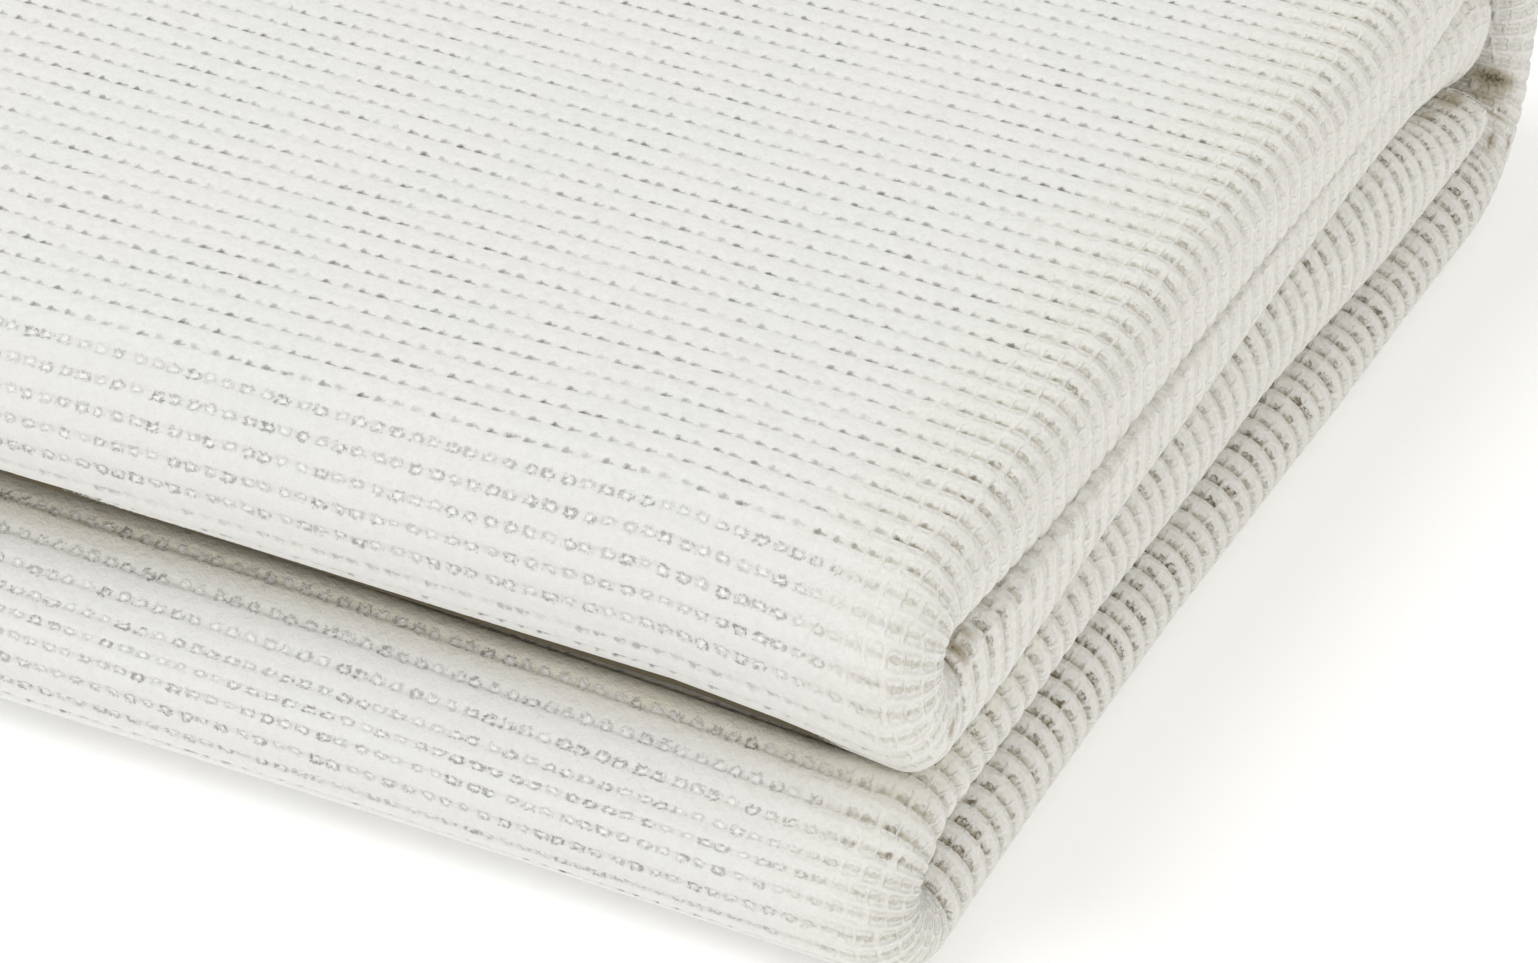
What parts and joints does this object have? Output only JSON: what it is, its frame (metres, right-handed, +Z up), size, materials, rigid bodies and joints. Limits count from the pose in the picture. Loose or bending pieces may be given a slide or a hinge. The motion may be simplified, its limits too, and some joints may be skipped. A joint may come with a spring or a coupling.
{
  "type": "folded cotton blanket",
  "caption": "Thick ribbed cotton blanket folded into a soft oblong stack, with rounded front folds, turned side edges and a spine at the back.",
  "frame": {"origin": "centre of the bounding box's base, on the surface that the stack lies on", "axes": "+X along the front folds towards the turned side edge, +Y from the front folds to the spine, +Z up"},
  "size_m": [0.4232, 0.3536, 0.0872],
  "materials": {
    "cream_cotton": "napped ribbed weave"
  },
  "bodies": {
    "root": {"blanket": "cream_cotton"}
  },
  "joints": []
}
